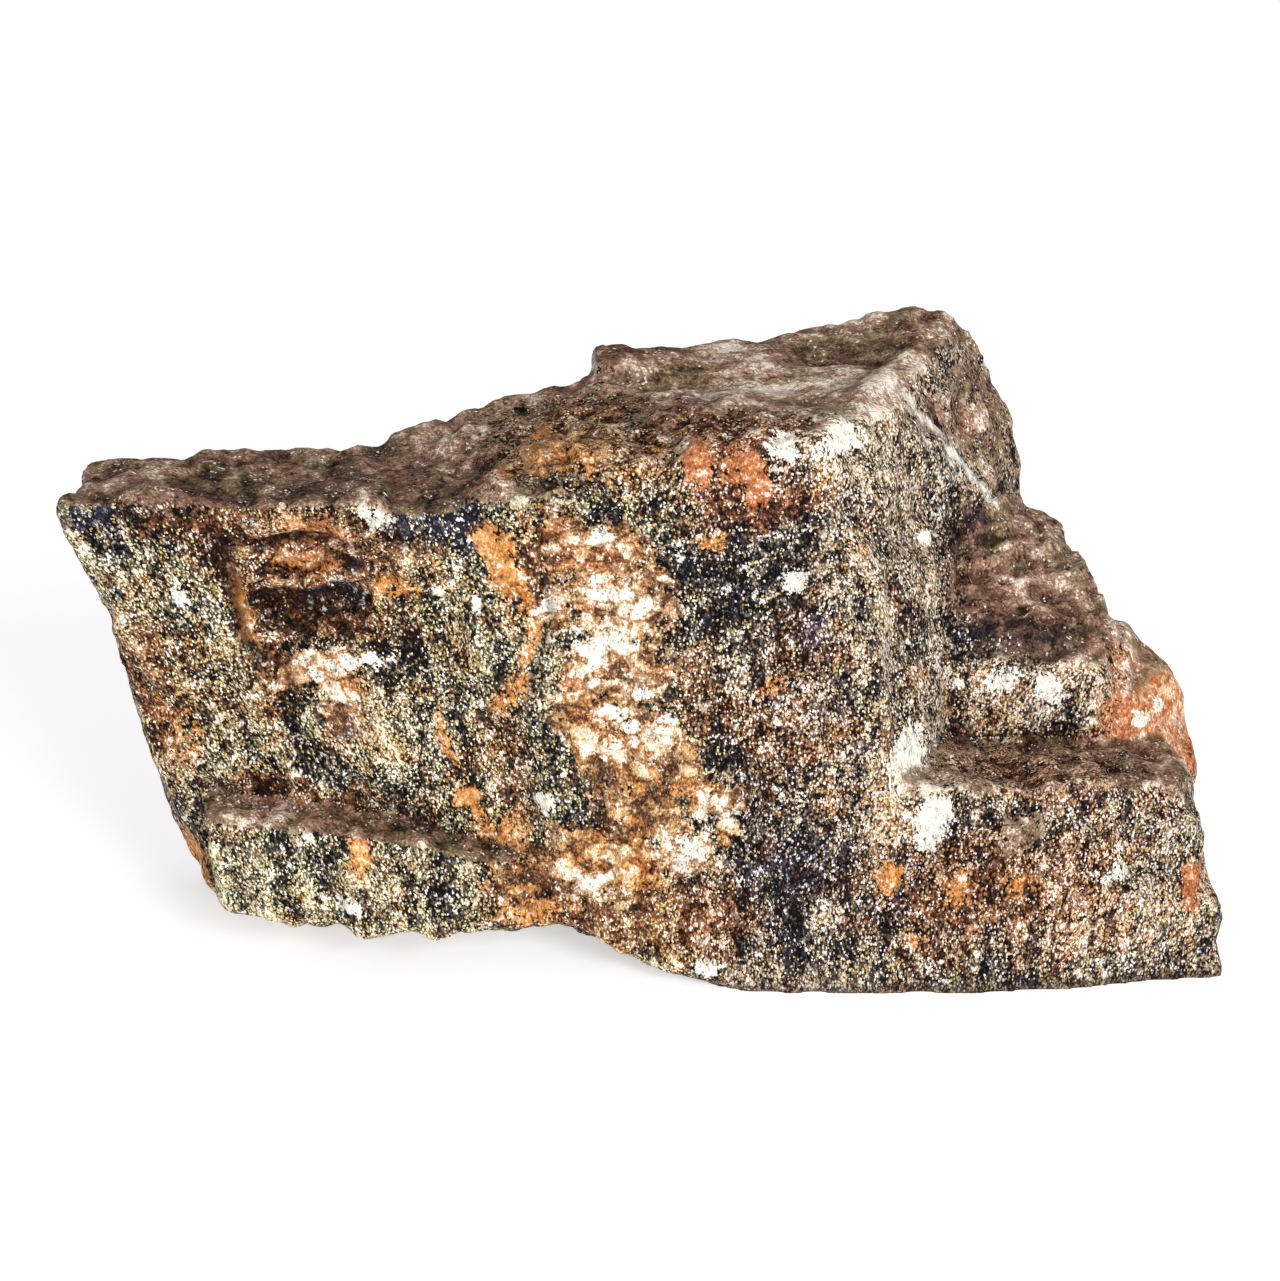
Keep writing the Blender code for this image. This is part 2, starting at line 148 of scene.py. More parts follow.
# Soft orange patches.
RUST = [
    (-12.3, -15, 36.4, 1.7, 4, 2.0), (-11.4, -15, 33.8, 1.4, 4, 1.8), (-14.6, -15, 15.4, 1.1, 3, 1.0),
    (3.9, -12.8, 42.2, 1.8, 3, 2.0), (7.8, -12.6, 41.2, 1.6, 3, 2.5), (-23.0, -17, 11.5, 1.3, 3, 2.0),
    (-27.7, -15.5, 13.9, 1.4, 3, 0.7), (18.9, -17.4, 9.6, 1.1, 2, 1.5),
    (29.4, -17.2, 8.7, 1.6, 2, 1.1, 0.7), (43.3, -14, 7.4, 1.0, 3, 2.2),
    (-31.7, -14.5, 31.2, 0.7, 2, 3.4), (-26.6, -13.5, 34.4, 2.4, 2, 0.9),
    (-26.0, -14, 37.2, 3.6, 3, 1.6, 0.75), (-20.2, -14.4, 32.8, 2.9, 2, 1.3, 0.75),
    (-37.5, -13, 21.0, 2.2, 4, 4.0, 0.5), (42.0, -0.5, 18.6, 5.2, 7, 6.6, 1.45),
    (-38, -10, 8, 3, 4, 4, 0.9), (35.5, -17, 11, 1.6, 2, 1.0, 0.6),
    (24.2, -17.5, 8.4, 1.4, 2, 1.4, 0.75), (21.6, -18, 4.5, 1.6, 2, 1.0, 0.6),
    (-9.5, -17, 6.0, 3.5, 2, 1.6, 0.7), (-8.6, -10, 41.6, 2.2, 3, 2.2, 0.9),
    (-11, -15.5, 12, 1.6, 2, 2.4, 0.7), (5.2, -14.2, 36.0, 1.2, 2, 1.0, 0.7),
    (9.5, -15, 24.6, 1.4, 2, 1.0, 0.6), (-27.5, -14, 34.2, 2.4, 2, 1.2, 0.75),
    (-8.4, -5.4, 42.5, 1.7, 2.5, 1.0, 0.85), (-11.4, -12.4, 41.6, 1.3, 1.5, 1.0, 0.8),
    (0.5, -11.5, 42.8, 1.6, 1.6, 0.9, 0.7),
]

# Ground soaked yellow-brown, grain by grain.
OCHRE = [
    (-1, -10, 42.3, 11, 7, 3, 0.75), (9, -9, 44, 5, 4, 2, 0.6), (30, -17, 8, 13, 4, 6, 0.55),
    (12, -15, 21, 6, 4, 5, 0.5), (18, -16, 15, 4, 4, 6, 0.6), (-20, -15, 24, 8, 4, 7, 0.45),
    (-34, -14, 24, 6, 4, 8, 0.5), (-22, -17, 9, 6, 3, 4, 0.45), (-24.7, -15, 19.8, 1.7, 2, 1.4, 0.9),
    (0, -17.5, 5, 8, 3, 3, 0.7), (31, -5.8, 20.6, 7, 3, 2.6, 0.5), (-12, -15, 19, 3, 3, 3, 0.5),
]

# Ground under a thin blue-black film.
BLUE_FILM = [
    (-43.5, -15, 38.6, 2.6, 3, 1.3, 0.7), (-15.0, -14, 37.5, 3.0, 3, 2.4),
    (-25.6, -14.5, 31.6, 3.6, 2, 1.0, 0.75), (-23.2, -13.8, 34.7, 1.0, 2, 0.9, 0.9),
    (26.9, 1, 32.8, 1.8, 2, 1.6), (11.5, -17.3, 9.6, 6.0, 3, 4.0, 0.5),
    (4.2, -15, 29.2, 1.4, 2, 1.4, 0.6), (13.0, -14.8, 29.0, 1.9, 2, 2.4, 0.62),
    (4.0, -14.5, 34.0, 2.6, 2, 2.4, 0.5), (-19.3, -14.3, 38.0, 1.1, 2, 2.0, 0.9),
    (14, -16, 22, 3, 2, 3, 0.45), (30, -4.4, 25.4, 6.5, 2, 1.9, 0.8),
]

# Chalky white spots.
CHALK = [
    (21.0, -14.2, 17.9, 1.9, 3.4, 2.5), (22.6, -16.0, 13.8, 1.6, 2.5, 1.9),
    (28.7, -5.9, 22.1, 1.4, 2, 0.9, 0.9), (32.5, -5.6, 21.2, 1.4, 2, 1.4, 0.8),
    (15.2, -9.8, 43.4, 2.4, 2.5, 1.4, 0.95), (10.6, -12, 43.4, 1.4, 2, 1.0, 0.9),
    (-21.3, -14.5, 38.6, 1.3, 2, 1.1, 0.9), (-22.0, -15.3, 26.8, 0.9, 1.5, 0.5),
    (-36.6, -15, 32.2, 0.6, 1, 0.7), (-16.9, -14.8, 32.4, 0.5, 1, 0.5),
    (-13.5, -15.4, 31.6, 0.5, 1, 0.5), (-8.7, -15.9, 15.3, 0.9, 2, 0.9),
    (11.3, -13.7, 33.2, 0.9, 1.5, 0.8), (-29.1, -15, 14.0, 0.8, 1, 0.6),
    (-27.2, -16.9, 12.7, 0.7, 1, 0.6), (-23.6, -16.9, 6.8, 1.3, 1.5, 0.9, 0.9),
    (40.0, -3.6, 18.0, 0.9, 1.0, 0.5), (41.7, -1.7, 18.9, 0.7, 1, 0.6), (22.2, -4.0, 33.6, 0.6, 1, 0.6),
    (4.6, -18.2, 1.7, 1.3, 1, 0.6), (37.0, -17.2, 9.2, 1.5, 2, 1.0, 0.85),
    (13.6, 2.0, 45.0, 2.4, 1.2, 0.8, 0.8), (-4.3, 4.0, 45.4, 0.6, 2.4, 1.6, 0.8),
]

# Ground with more pale grains.
PALE_GROUND = [
    (-36, -14, 25, 6, 5, 8, 0.2), (16.6, -12, 33, 3.4, 6, 13, 0.62), (31, -5.8, 20.6, 8, 3, 3.4),
    (-14.5, -15, 31, 3, 3, 3.4, 0.7), (-30, -16, 7.0, 8, 3, 5, 0.8), (-22, -16, 20, 5, 3, 4, 0.6),
    (21, -16, 16, 3.5, 3, 4.5, 0.9), (36, -17, 6, 6, 3, 5, 0.6), (21, -4, 36, 3, 6, 9, 0.3),
    (17.5, -8.5, 42.0, 5.0, 5, 3.6, 1.3), (10.5, 0.4, 46, 11, 6.4, 2.6, 1.35),
    (32, -16.5, 12.5, 7, 3, 3, 0.35), (31, -10, 16.5, 9, 6, 2, 0.4), (-28, -14, 15.0, 9, 3, 1.6, 0.4),
    (27, 9, 41, 4, 7, 9, 0.25), (31, 1, 29.5, 6, 6, 4, 0.3), (13.4, 1.6, 45, 2.8, 1.1, 1.2, 1.3),
    (6, 2.1, 45, 1.2, 0.8, 1), (-21, -17, 8, 0.7, 3, 5), (-27.2, -17, 8, 0.7, 3, 5),
    (-18.1, -17, 8, 0.6, 3, 5), (14.2, -12, 38, 0.9, 4, 6), (16.4, -10, 37, 0.6, 4, 7, 0.8),
]

# Ground with more dark grains.
DARK_GROUND = [
    (-38, -14.5, 37.4, 8.5, 4, 3.2), (-32, -14, 33, 4, 4, 3, 0.7), (8, -15, 30, 6, 5, 8, 0.5),
    (12, -17, 12, 7, 4, 7, 0.4), (-34, -14.4, 14.6, 4, 1.5, 1.2, 0.8), (-20, -15, 28, 3, 3, 3.5, 0.7),
    (-29.5, -14, 30, 1.5, 3, 7, 0.7), (-11, -15.5, 20, 2, 3, 6, 0.6), (5, -14.5, 36, 5, 3, 4, 0.8),
    (30, -4, 25.6, 7.5, 3, 2.0), (-26, -14, 30.6, 4, 3, 1.6, 0.8), (15, 6, 46.2, 7, 1.6, 1.5, 0.8),
    (4, 2.9, 45.8, 6, 1.2, 1.2, 0.9), (13, -3.4, 45, 7, 1.6, 1.2), (6.5, 10, 46.5, 3.6, 3, 1.6, 0.9),
    (-30, -7, 40, 16, 8, 2, 0.35), (-3, -10, 39.5, 5, 5, 1.6, 0.9), (2, -9, 43.8, 9, 3, 1.6, 0.6),
    (26.5, 0.5, 33, 3.5, 3, 2.5, 0.9), (-25.2, -17, 8, 0.6, 3, 5), (-19.4, -17, 8, 0.7, 3, 5),
    (-16.7, -17, 8, 0.6, 3, 5), (-28.8, -17, 8, 0.6, 3, 5), (-17.5, -15, 24, 0.7, 3, 8),
    (-20.6, -15, 25, 0.7, 3, 7),
]

# Reddish-brown crust.
BROWN = [
    (-21, -14.5, 35.5, 4.5, 3, 2.6, 0.75), (-31, -14.5, 34.5, 2.6, 3, 3.4, 0.7),
    (-26.5, -14, 33.6, 7.5, 5, 5.6), (-36.0, -14, 37.6, 6, 4, 2.2, 0.8),
    (-4.0, -6, 42.8, 9, 10, 2.6, 0.95), (-30, -14, 27, 2.5, 3, 5, 0.7),
    (-8.8, -15.5, 34, 2.4, 3, 4.4, 0.85), (-12, -16, 18, 3, 3, 6, 0.6), (28, -17, 8, 12, 4, 5, 0.62),
    (8, -14, 39.4, 6, 4, 3, 0.8), (10, -15, 20, 4, 3, 5, 0.5), (-39.6, -13, 24, 2.6, 4, 9, 0.8),
    (-2, -17, 6, 12, 4, 3.6, 0.85), (12, -15, 26, 4, 3, 4, 0.45), (36.6, -1, 26, 2.6, 4, 5, 0.9),
    (3.0, -16, 25, 2.6, 3, 6, 0.6), (5, -9, 44, 9, 6, 2.2), (31, -10, 16.5, 9, 6, 2.2),
    (-28, -14.2, 14.8, 9, 2, 1.4),
]

# Where the rust is red rather than gold.
RED = [
    (6, -12, 41, 6, 5, 4), (-28, -14, 14.6, 9, 3, 1.6), (42, -1, 18, 6, 9, 8),
    (-24, -14, 36, 6, 4, 4, 0.7), (-28, -15, 14, 2, 3, 1.5), (43, -14, 7, 3, 3, 4),
]

# Faces that look up and have lost their dull skin and its painted top shade.
BARE = [
    (-5, -7, 42.3, 8.0, 10, 2.8, 0.8), (-26, -14, 32.6, 7.5, 4, 4.8),
    (6, -10.5, 44.2, 8, 4.5, 1.8, 0.9), (31, -11, 16.6, 9, 5, 2.0, 0.7),
]

# Where thin layers show in the skin.
LAYERED = [(10, 3, 45.5, 15, 9, 2.5), (31, 1, 29, 8, 8, 6)]

# Steeper faces that still have their dull skin.
SKIN = [(31.5, 1.5, 29.4, 8.5, 10, 6.2), (27, 8, 41, 5, 9, 8, 0.62), (-41, -12, 41, 8, 8, 2.2)]

# Where the stone broke in small ledges.
LEDGED = [(-25, -14, 34.6, 8, 4, 5.0, 0.6), (31, 1, 29, 8, 8, 6, 0.45), (-7, -13, 41.5, 6, 4, 2.5, 0.6)]

# Seams, crevices and worn edges run along lines: half the width in mm, how strong the line is, and
# its points. The crevices are also darkened with painted shade, and the worn edges lightened with a
# painted highlight.
RUST_SEAMS = [
    (0.6, 0.95, [(-10.2, -15.3, 32.6), (-9.4, -15.4, 31.0), (-9.1, -15.6, 29.0), (-9.5, -15.8, 27.4)]),
    (1.2, 0.95, [(-10.2, -15.5, 25.6), (-11.3, -15.5, 23.4)]),
    (0.5, 0.9, [(-16.9, -14.9, 22.7), (-16.4, -14.9, 21.6), (-15.9, -14.8, 19.6),
                (-15.5, -14.7, 17.7)]),
    (0.9, 0.85, [(-14.6, -14.7, 15.6), (-13.6, -14.8, 14.4), (-13.0, -14.9, 13.3),
                 (-12.8, -16.4, 9.1)]),
    (0.5, 0.85, [(-32.0, -14.5, 32.4), (-31.8, -15.0, 30.9), (-31.4, -15.2, 28.5)]),
]
CREVICES = [
    (0.8, 0.7, [(-33.1, -14.7, 36.1), (-32.6, -14.5, 33.2), (-31.9, -15.0, 30.1),
                (-30.9, -15.1, 27.2)]),
    (0.6, 0.7, [(-30.5, -14.3, 35.8), (-28.6, -14.7, 36.3), (-25.0, -14.7, 36.6)]),
    (0.5, 0.6, [(-30.6, -13.3, 31.2), (-27.7, -13.3, 30.7), (-24.9, -13.3, 31.0),
                (-23.5, -13.6, 32.0)]),
    (0.5, 0.5, [(-27.6, -14.9, 28.4), (-25.2, -15.2, 28.5), (-24.0, -15.1, 29.1)]),
    (0.7, 0.5, [(-19.8, -14.0, 38.8), (-19.3, -14.7, 37.4), (-19.6, -14.9, 35.8)]),
    (0.4, 0.45, [(-36.0, -12.6, 15.3), (-32.8, -13.2, 15.4), (-28.0, -13.7, 15.1), (-23.2, -13.9, 14.6),
                 (-19.2, -14.1, 13.6), (-16.8, -14.6, 12.6), (-14.0, -14.8, 11.8)]),
    (0.35, 0.4, [(-14.0, -14.8, 11.8), (-11.6, -15.3, 11.1), (-8.8, -16.1, 10.6)]),
    (0.5, 0.5, [(24.0, -6.0, 24.0), (26.9, -5.3, 24.1), (29.8, -5.9, 23.4), (32.7, -5.2, 24.0),
                (36.1, -3.9, 23.8)]),
    (0.5, 0.4, [(23.8, -7.1, 17.4), (28.4, -6.1, 17.0), (33.3, -5.1, 17.3)]),
    (0.8, 0.35, [(8.9, 3.8, 46.2), (12.2, 6.8, 46.1), (17.1, 5.8, 46.2), (20.2, 2.4, 46.4)]),
    (0.35, 0.4, [(-44.7, -14.7, 35.9), (-42.9, -14.4, 31.5), (-41.2, -13.5, 27.1),
                 (-39.9, -12.0, 21.6)]),
    (0.5, 0.5, [(-8.7, -15.3, 35), (-8.1, -15.5, 31.7), (-8.4, -15.8, 27.6), (-9.6, -15.8, 23.6),
                (-9.9, -15.3, 18.7)]),
    (0.5, 0.5, [(7.9, -5.5, 44.9), (11.0, -8.6, 44.3), (13.0, -10.6, 44.2)]),
]
WORN_AND_HIGHLIT_EDGES = [
    (0.55, 1.0, [(19.2, -1.0, 45.9), (22.4, 0.1, 42.3), (24.3, 1.0, 39.7), (26.2, 2.9, 36.8),
                 (28.2, 4.1, 34.2)]),
    (2.0, 0.5, [(17.0, -5.0, 43.5), (20.4, -1.5, 42.5), (23.0, 0.1, 40.0), (24.8, 1.6, 37.6)]),
    (0.45, 0.8, [(2.1, 1.7, 44.3), (5.5, -3.8, 45.1), (9.5, -5.5, 45.0), (13.3, -9.2, 45.0)]),
]


def in_bodies(bodies, points):
    """How deep each point lies in the nearest body: 1 well inside, 0.5 at its rim, 0 outside."""
    depth = np.zeros(len(points))
    for x, y, z, half_x, half_y, half_z, *fullness in bodies:
        apart = points - (x, y, z)
        apart[:, 0] += (LEAN + LEAN_ALONG * x) * apart[:, 2]
        reach = np.linalg.norm(apart / (half_x, half_y, half_z), axis=1)
        depth = np.maximum(depth, np.clip(1.5 - reach, 0, 1) * (fullness[0] if fullness else 1))
    return depth


def near_lines(lines, points):
    """How near each point is to one of the lines: its strength on it, and half that at its edge."""
    nearness = np.zeros(len(points))
    for half_width, strength, line in lines:
        closest = np.full(len(points), 1e9)
        for start, end in zip(np.array(line[:-1]), np.array(line[1:])):
            way = end - start
            share = np.clip((points - start) @ way / (way @ way), 0, 1)
            closest = np.minimum(closest, np.linalg.norm(points - start - share[:, None] * way, axis=1))
        nearness = np.maximum(nearness, np.clip(1 - closest / half_width / 2, 0, 1) * strength)
    return nearness


# The back has patches of its own, strewn about: how many of each kind of ground, and about how many
# mm half of one measures.
STREWN = [
    (RUST, 12, 2.2), (OCHRE, 9, 4.5), (BROWN, 9, 5.0), (PALE_GROUND, 7, 5.0), (DARK_GROUND, 8, 5.0),
    (CHALK, 14, 0.9), (BLUE_FILM, 6, 1.8), (AMBER_QUARTZ, 5, 2.6),
]
FACES_BACK = 0.2  # they lie where the surface faces back at least this much
OVER_FOOT = 1.5  # and at least so many mm up
random.seed(5)
back = places[(facing[:, 1] > FACES_BACK) & (places[:, 2] > OVER_FOOT)]
for bodies, many, size in STREWN:
    for _ in range(many):
        halves = [size * random.uniform(0.5, 1.2) for _ in range(3)]
        bodies.append((*back[random.randrange(len(back))], *halves, random.uniform(0.65, 1.0)))

# The edges of the patches wander by a mm or two, and those of the small ones by less.
WIDE_STRAY = (1.5, 3.4)  # how far, and over how many mm
SMALL_STRAY = (0.8, 1.3)
SMALL_SHARE = 0.45
wander = np.stack([
    WIDE_STRAY[0] * speckle(WIDE_STRAY[1], seed) + SMALL_STRAY[0] * speckle(SMALL_STRAY[1], seed + 5)
    for seed in (11, 23, 37)
], axis=1)
strayed = places + wander
nearby = places + SMALL_SHARE * wander
ground = {
    "quartz": in_bodies(WHITE_QUARTZ, strayed),
    "milk": in_bodies(MILKY_QUARTZ, nearby),
    "amber": in_bodies(AMBER_QUARTZ, strayed),
    "rust": np.maximum(in_bodies(RUST, nearby), near_lines(RUST_SEAMS, nearby)),
    "red": in_bodies(RED, strayed),
    "ochre": in_bodies(OCHRE, strayed),
    "brown": in_bodies(BROWN, strayed),
    "film": in_bodies(BLUE_FILM, nearby),
    "chalk": in_bodies(CHALK, nearby),
    "pale": in_bodies(PALE_GROUND, strayed),
    "dark": in_bodies(DARK_GROUND, strayed),
    "layered": in_bodies(LAYERED, strayed),
    "cut": near_lines(CREVICES, nearby),
    "worn_and_highlit": near_lines(WORN_AND_HIGHLIT_EDGES, nearby),
}

# The old faces that look up keep a dull skin, and are darkened as painted top shade by how far they
# look up.
SKIN_AND_TOP_SHADE_FROM = 0.25  # how far a face looks up where its skin and painted top shade begin
SKIN_AND_TOP_SHADE_FADE = 0.4
up = np.clip(spread(facing[:, 2], 6), 0, 1)
bare = in_bodies(BARE, strayed)
ground["skin"] = np.maximum(in_bodies(SKIN, strayed), np.clip((up - SKIN_AND_TOP_SHADE_FROM) / SKIN_AND_TOP_SHADE_FADE, 0, 1))
ground["skin"] = np.clip(ground["skin"] - bare, 0, 1)

# Places sheared so that the steep bands stand upright.
upright = places.copy()
upright[:, 0] += (LEAN + LEAN_ALONG * places[:, 0]) * places[:, 2]


def ribs(across, seed):
    """Noise drawn out along the steep bands."""
    waves = upright / (across, across, across * 4) + seed
    return np.array([noise.noise(Vector(spot)) for spot in waves])


def streaks(seed):
    """Noise in thin level layers."""
    return np.array([noise.noise(Vector(spot)) for spot in places / (3.2, 1.4, 0.7) + seed])


def crystals(points, across):
    """Blocky crystals about so many mm across: each point's height in mm over its crystal's rim."""
    heights = np.zeros(len(points))
    for index, spot in enumerate(points / (across, across, across * 0.9)):
        distances, nearest = noise.voronoi(Vector(spot))
        tilt = noise.cell_vector(nearest[0] * 5.3) - Vector((0.5, 0.5, 0.5))
        rim = min(1.0, (distances[1] - distances[0]) * 3.0)
        heights[index] = rim * (0.35 + (Vector(spot) - nearest[0]).dot(tilt) * 0.9)
    return heights


def ledges(high, seed):
    """Flat steps one above the other, each so many mm high: -0.5 at a step's foot, 0.5 at its lip."""
    level = (places[:, 2] + 1.4 * speckle(3.0, seed) + 0.6 * speckle(1.1, seed + 2)) / high
    return level - np.floor(level) - 0.5


def rough(kind, sizes):
    """Some noises of one kind together: each with its height and its width in mm, and its seed."""
    return sum(high * kind(across, seed) for high, across, seed in sizes)


# How far the surface stands out of the solid, in mm: bumps all over, ribs on the steep faces, rougher
# bumps on the tops, and ledges, crevices and crystals where they belong. Where thin layers show, the
# bumps are lower.
BUMPS = [(0.34, 3.4, 3), (0.2, 1.4, 8)]
FINE_BUMPS = [(0.08, 0.8, 14)]
RIBS = [(0.46, 2.1, 2), (0.2, 1.0, 9)]
TOP_BUMPS = [(0.44, 2.6, 17), (0.32, 1.2, 19)]
BARE_BUMPS = [(0.5, 1.1, 27)]
STREAK_HEIGHT = 0.34
LEDGE = 2.4
LEDGE_DEPTH = 1.7
CREVICE_DEPTH = 0.9
LARGE_CRYSTAL = 2.5
SMALL_CRYSTAL = 1.3
layered = ground["layered"]
flat_up = np.clip(up * 1.3, 0, 1)
relief = (1 - 0.6 * layered) * rough(speckle, BUMPS) + rough(speckle, FINE_BUMPS)
relief += (1 - flat_up) * rough(ribs, RIBS)
relief += flat_up * (1 - 0.75 * layered) * rough(speckle, TOP_BUMPS)
relief += layered * STREAK_HEIGHT * streaks(31) + bare * rough(speckle, BARE_BUMPS)
relief += in_bodies(LEDGED, strayed) * LEDGE_DEPTH * ledges(LEDGE, 41)
relief -= CREVICE_DEPTH * ground["cut"]
veined = np.clip(np.maximum(ground["quartz"], ground["amber"] * 0.9) * 2.4 - 0.8, 0, 1)
in_vein = np.nonzero(veined > 0)[0]
crystal_height = np.zeros(len(places))
crystal_height[in_vein] = (
    0.6 * crystals(strayed[in_vein] * 0.6 + places[in_vein] * 0.4, LARGE_CRYSTAL)
    + 0.5 * crystals(strayed[in_vein] * 0.4 + places[in_vein] * 0.6, SMALL_CRYSTAL)
)
relief += veined * (crystal_height * 1.1 - 0.15)
relief += 0.15 * ground["rust"] + 0.15 * np.clip(ground["chalk"] * 2 - 0.8, 0, 1)
relief -= 0.15 * ground["dark"]

# The relief fades out towards the foot, the base stays flat, and nothing leaves the solid's box.
FOOT = 3.0
BASE = 0.25
relief *= np.clip(places[:, 2] / FOOT, 0, 1)
moved = places + facing * relief[:, None]
moved[:, 2] = np.maximum(moved[:, 2], 0)
moved[places[:, 2] < BASE, 2] = 0
low, high = (np.array(corner) / MM for corner in cad_box)
moved = np.clip(moved, low, high)
stone.data.vertices.foreach_set("co", (moved * MM).ravel())
stone.data.update()


def depth_under(passes):
    """How far each point lies under the surface around it, in mm; more passes look further off."""
    around = np.stack([spread(moved[:, axis], passes) for axis in range(3)], axis=1)
    return np.einsum("ij,ij->i", around - moved, facing)


# Painted shade darkens the small hollows; the wide hollows get a little painted shade and the wide
# ridges a little painted light.
ground["painted_crease_shade"] = np.clip(spread(depth_under(5), 1) * 5 - 0.15, 0, 1)
ground["painted_relief_shading"] = np.clip(0.5 + depth_under(36), 0, 1)

# The material reads each kind of ground, and the painted shade and shading, from the points.
for name, share in ground.items():
    layer = stone.data.attributes.new(name, "FLOAT", "POINT")
    layer.data.foreach_set("value", share.astype(np.float32))
stone.data.shade_smooth()

finish = bpy.data.materials.new("broken_hornfels")
finish.use_nodes = True
tree = finish.node_tree
shader = tree.nodes["Principled BSDF"]


def add(kind, feeds, **settings):
    """A node with its settings, and its inputs fed by values or by other nodes' outputs."""
    node = tree.nodes.new(kind)
    for name, value in settings.items():
        setattr(node, name, value)
    for name, value in feeds.items():
        if isinstance(value, bpy.types.NodeSocket):
            tree.links.new(value, node.inputs[name])
        else:
            node.inputs[name].default_value = value
    return node


def times(first, second):
    return add("ShaderNodeMath", {0: first, 1: second}, operation="MULTIPLY").outputs[0]


def larger(first, second):
    return add("ShaderNodeMath", {0: first, 1: second}, operation="MAXIMUM").outputs[0]


def plus(*terms, start=0.0):
    """A starting value and the sum of some values, each with its weight."""
    total = start
    for value, weight in terms:
        node = add("ShaderNodeMath", {0: value, 1: weight, 2: total}, operation="MULTIPLY_ADD")
        total = node.outputs[0]
    return total


def step(value, low, high):
    """0 under low, 1 over high, smooth in between."""
    return add("ShaderNodeMapRange", {"Value": value, "From Min": low, "From Max": high},
               interpolation_type="SMOOTHSTEP").outputs[0]


def stretched(vector, factors):
    return add("ShaderNodeVectorMath", {0: vector, 1: factors}, operation="MULTIPLY").outputs[0]


def cloud(vector, across, detail=3.0, roughness=0.55):
    """Soft noise in patches so many mm across, 0 to 1."""
    return add("ShaderNodeTexNoise", {"Vector": vector, "Scale": 1 / across, "Detail": detail,
                                      "Roughness": roughness}).outputs["Fac"]


def swayed(vector, ways, reach):
    """A vector moved each way by a value from 0 to 1: by half the reach at most."""
    ways = add("ShaderNodeVectorMath", {0: ways, 1: (0.5, 0.5, 0.5)}, operation="SUBTRACT").outputs[0]
    moved_on = add("ShaderNodeVectorMath", {0: ways, 1: reach, 2: vector}, operation="MULTIPLY_ADD")
    return moved_on.outputs[0]


def wandering(vector, scale, detail, roughness, reach):
    """Places moved about by soft noise of so many waves a mm."""
    ways = add("ShaderNodeTexNoise", {"Vector": vector, "Scale": scale, "Detail": detail,
                                      "Roughness": roughness}).outputs["Color"]
    return swayed(vector, ways, reach)


def grains(vector, across):
    """Cells so many mm across: three random values each, the way to the middle, and a random vector."""
    cells = add("ShaderNodeTexVoronoi", {"Vector": vector, "Scale": 1 / across})
    parts = add("ShaderNodeSeparateColor", {0: cells.outputs["Color"]}).outputs
    return parts[0], parts[1], parts[2], cells.outputs["Distance"], cells.outputs["Color"]


def rims(vector, across):
    """The way to the nearest cell's edge."""
    return add("ShaderNodeTexVoronoi", {"Vector": vector, "Scale": 1 / across},
               feature="DISTANCE_TO_EDGE").outputs["Distance"]


def tone(red, green, blue):
    """A colour given as it looks on a screen, 0 to 255."""
    shares = [part / 255 for part in (red, green, blue)]
    return tuple(s / 12.92 if s <= 0.04045 else ((s + 0.055) / 1.055) ** 2.4 for s in shares) + (1.0,)


def run(value, *stops):
    """A run of colours over a value: each stop is a place on it and a colour as on a screen."""
    ramp = add("ShaderNodeValToRGB", {"Fac": value})
    held = ramp.color_ramp.elements
    while len(held) < len(stops):
        held.new(0.5)
    for element, (place, *colour) in zip(held, stops):
        element.position = place
        element.color = tone(*colour)
    return ramp.outputs["Color"]


def over(under, top, share, kind="MIX"):
    """One colour laid over another."""
    node = tree.nodes.new("ShaderNodeMix")
    node.data_type = "RGBA"
    node.blend_type = kind
    for socket, value in ((node.inputs[0], share), (node.inputs[6], under), (node.inputs[7], top)):
        if isinstance(value, bpy.types.NodeSocket):
            tree.links.new(value, socket)
        else:
            socket.default_value = value
    return node.outputs[2]


def share_of(name):
    return add("ShaderNodeAttribute", {}, attribute_name=name).outputs["Fac"]


# Places in mm, and the same places sheared so that the steep bands stand upright.
metres = add("ShaderNodeTexCoord", {}).outputs["Object"]
spot = add("ShaderNodeVectorMath", {0: metres, "Scale": 1 / MM}, operation="SCALE").outputs[0]
parts = add("ShaderNodeSeparateXYZ", {0: spot}).outputs
lean = plus((parts[0], LEAN_ALONG), start=LEAN)
shifted = plus((parts[2], lean), (parts[0], 1.0))
flow = add("ShaderNodeCombineXYZ", {0: shifted, 1: parts[1], 2: parts[2]}).outputs[0]

# Fine and coarse grains, drawn out a little along the bands, and soft noises of several sizes.
FINE_GRAIN = 0.146
COARSE_GRAIN = 0.4
ragged = wandering(flow, 4.0, 2.0, 0.5, (0.16, 0.16, 0.16))
fine_place = stretched(ragged, (1, 1, 0.58))
coarse_place = stretched(ragged, (1, 1, 0.55))
pick, hue, shade, middle, _ = grains(fine_place, FINE_GRAIN)
big_pick, big_hue, big_shade, big_middle, big_tilt = grains(coarse_place, COARSE_GRAIN)
patches = cloud(flow, 1.7, 4.0, 0.6)
broad = cloud(flow, 6.5, 2.0)
bands = cloud(stretched(flow, (1, 1, 0.1)), 1.25)
mottle = cloud(spot, 0.9, 5.0, 0.7)
grit = cloud(spot, 0.22, 2.0, 0.7)
stain = cloud(flow, 3.2, 4.0, 0.65)
grain_core = step(plus((middle, 1.0), (grit, 1.2)), 1.22, 0.98)
soaked = plus((mottle, 0.9), (patches, 0.6), (big_pick, 0.2), (pick, 0.2), start=-0.95)


def showing(name, spill, low, high):
    """Where one kind of ground shows: its share, ragged at the edge, grain by grain."""
    return step(plus((share_of(name), 1.0), (soaked, spill)), low, high)


